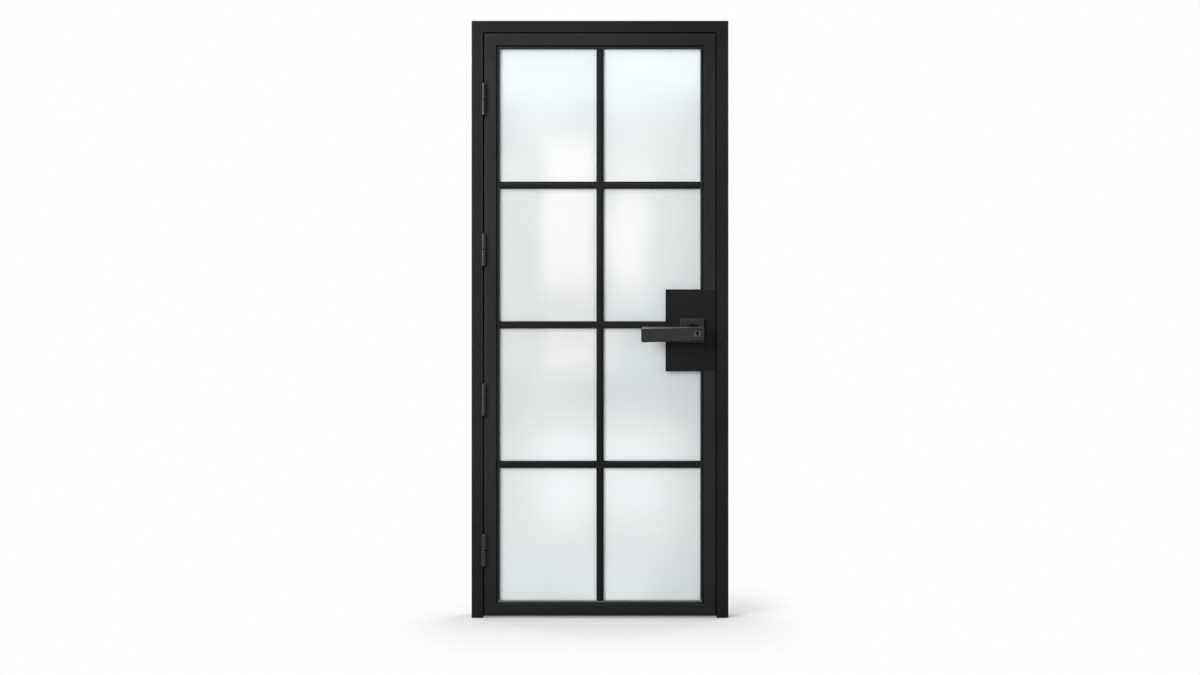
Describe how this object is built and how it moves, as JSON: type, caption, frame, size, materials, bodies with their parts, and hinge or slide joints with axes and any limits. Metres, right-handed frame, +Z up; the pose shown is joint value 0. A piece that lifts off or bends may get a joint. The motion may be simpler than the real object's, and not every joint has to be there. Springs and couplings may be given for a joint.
{
  "type": "framed glass door",
  "caption": "Black steel framed hinged door with divided frosted glass panes, lever handles, a lock box and a rebated frame.",
  "frame": {"origin": "floor level, midway between the jambs and midway through the closed leaf", "axes": "+X to the lock side, +Y from the pull side through the doorway, +Z up"},
  "size_m": [0.918, 0.172, 2.134],
  "materials": {
    "frame_paint": "satin black powder coat",
    "leaf_paint": "satin black powder coat",
    "bar_paint": "satin black powder coat",
    "hinge_paint": "semi-gloss black paint",
    "pin_steel": "turned",
    "frosted_glass": "acid-etched, translucent",
    "gasket_rubber": "matte",
    "seal_rubber": "matte",
    "handle_metal": "satin gunmetal black",
    "cylinder_metal": "blackened steel",
    "lock_steel": "zinc plated",
    "spring_steel": "oiled",
    "screw_steel": "black oxide",
    "dust_box_plastic": "moulded"
  },
  "bodies": {
    "frame": {"hinge_jamb": "frame_paint", "strike_jamb": "frame_paint", "frame_head": "frame_paint", "hinge_jamb_seal": "seal_rubber", "strike_jamb_seal": "seal_rubber", "head_seal": "seal_rubber", "strike_plate": "lock_steel", "strike_dust_box": "dust_box_plastic", "jamb_knuckle_1": "hinge_paint", "jamb_knuckle_2": "hinge_paint", "jamb_knuckle_3": "hinge_paint", "jamb_knuckle_4": "hinge_paint", "hinge_pins": "pin_steel", "hinge_washers": "pin_steel"},
    "leaf": {"hinge_stile": "leaf_paint", "lock_stile_upper": "leaf_paint", "lock_stile_lower": "leaf_paint", "top_rail": "leaf_paint", "bottom_rail": "leaf_paint", "lock_box": "leaf_paint", "upright_bar": "bar_paint", "cross_bar_1": "bar_paint", "cross_bar_2": "bar_paint", "cross_bar_3": "bar_paint", "beads_left_1": "bar_paint", "beads_left_2": "bar_paint", "beads_left_3": "bar_paint", "beads_left_4": "bar_paint", "beads_right_1": "bar_paint", "beads_right_2": "bar_paint", "beads_right_3": "bar_paint", "beads_right_4": "bar_paint", "pane_left_1": "frosted_glass", "pane_left_2": "frosted_glass", "pane_left_3": "frosted_glass", "pane_left_4": "frosted_glass", "pane_right_1": "frosted_glass", "pane_right_2": "frosted_glass", "pane_right_3": "frosted_glass", "pane_right_4": "frosted_glass", "glazing_gaskets": "gasket_rubber", "leaf_knuckle_1": "hinge_paint", "leaf_knuckle_2": "hinge_paint", "leaf_knuckle_3": "hinge_paint", "leaf_knuckle_4": "hinge_paint", "forend": "lock_steel", "lock_case": "lock_steel", "lock_cover": "lock_steel", "rose_front": "handle_metal", "rose_rear": "handle_metal", "rose_screws": "screw_steel", "latch_spring": "spring_steel"},
    "handle": {"lever_front": "handle_metal", "lever_rear": "handle_metal", "spindle": "lock_steel", "follower": "lock_steel", "key_housing": "cylinder_metal"},
    "latch": {"latch_bolt": "lock_steel"},
    "key_plug": {"key_plug": "cylinder_metal"}
  },
  "joints": [
    {"name": "leaf_swing", "type": "hinge", "parent": "frame", "child": "leaf", "pos_m": [-0.415, -0.03, 1.048], "axis": [0, 0, -1], "range_deg": [0, 170]},
    {"name": "lever_turn", "type": "hinge", "parent": "leaf", "child": "handle", "pos_m": [0.3286, 0, 1.0266], "axis": [0, -1, 0], "range_deg": [0, 40], "stiffness_Nm_per_rad": 2.5, "springref_deg": -114.59},
    {"name": "latch_slide", "type": "slide", "parent": "leaf", "child": "latch", "axis": [-1, 0, 0], "range_m": [0, 0.014], "deforming": ["latch_spring"]},
    {"name": "key_turn", "type": "hinge", "parent": "handle", "child": "key_plug", "pos_m": [0.3441, -0.079, 1.0151], "axis": [0, 1, 0], "range_deg": [0, 90]}
  ],
  "couplings": [
    {"joint": "latch_slide", "follows": "lever_turn", "m_per_rad": 0.02}
  ]
}
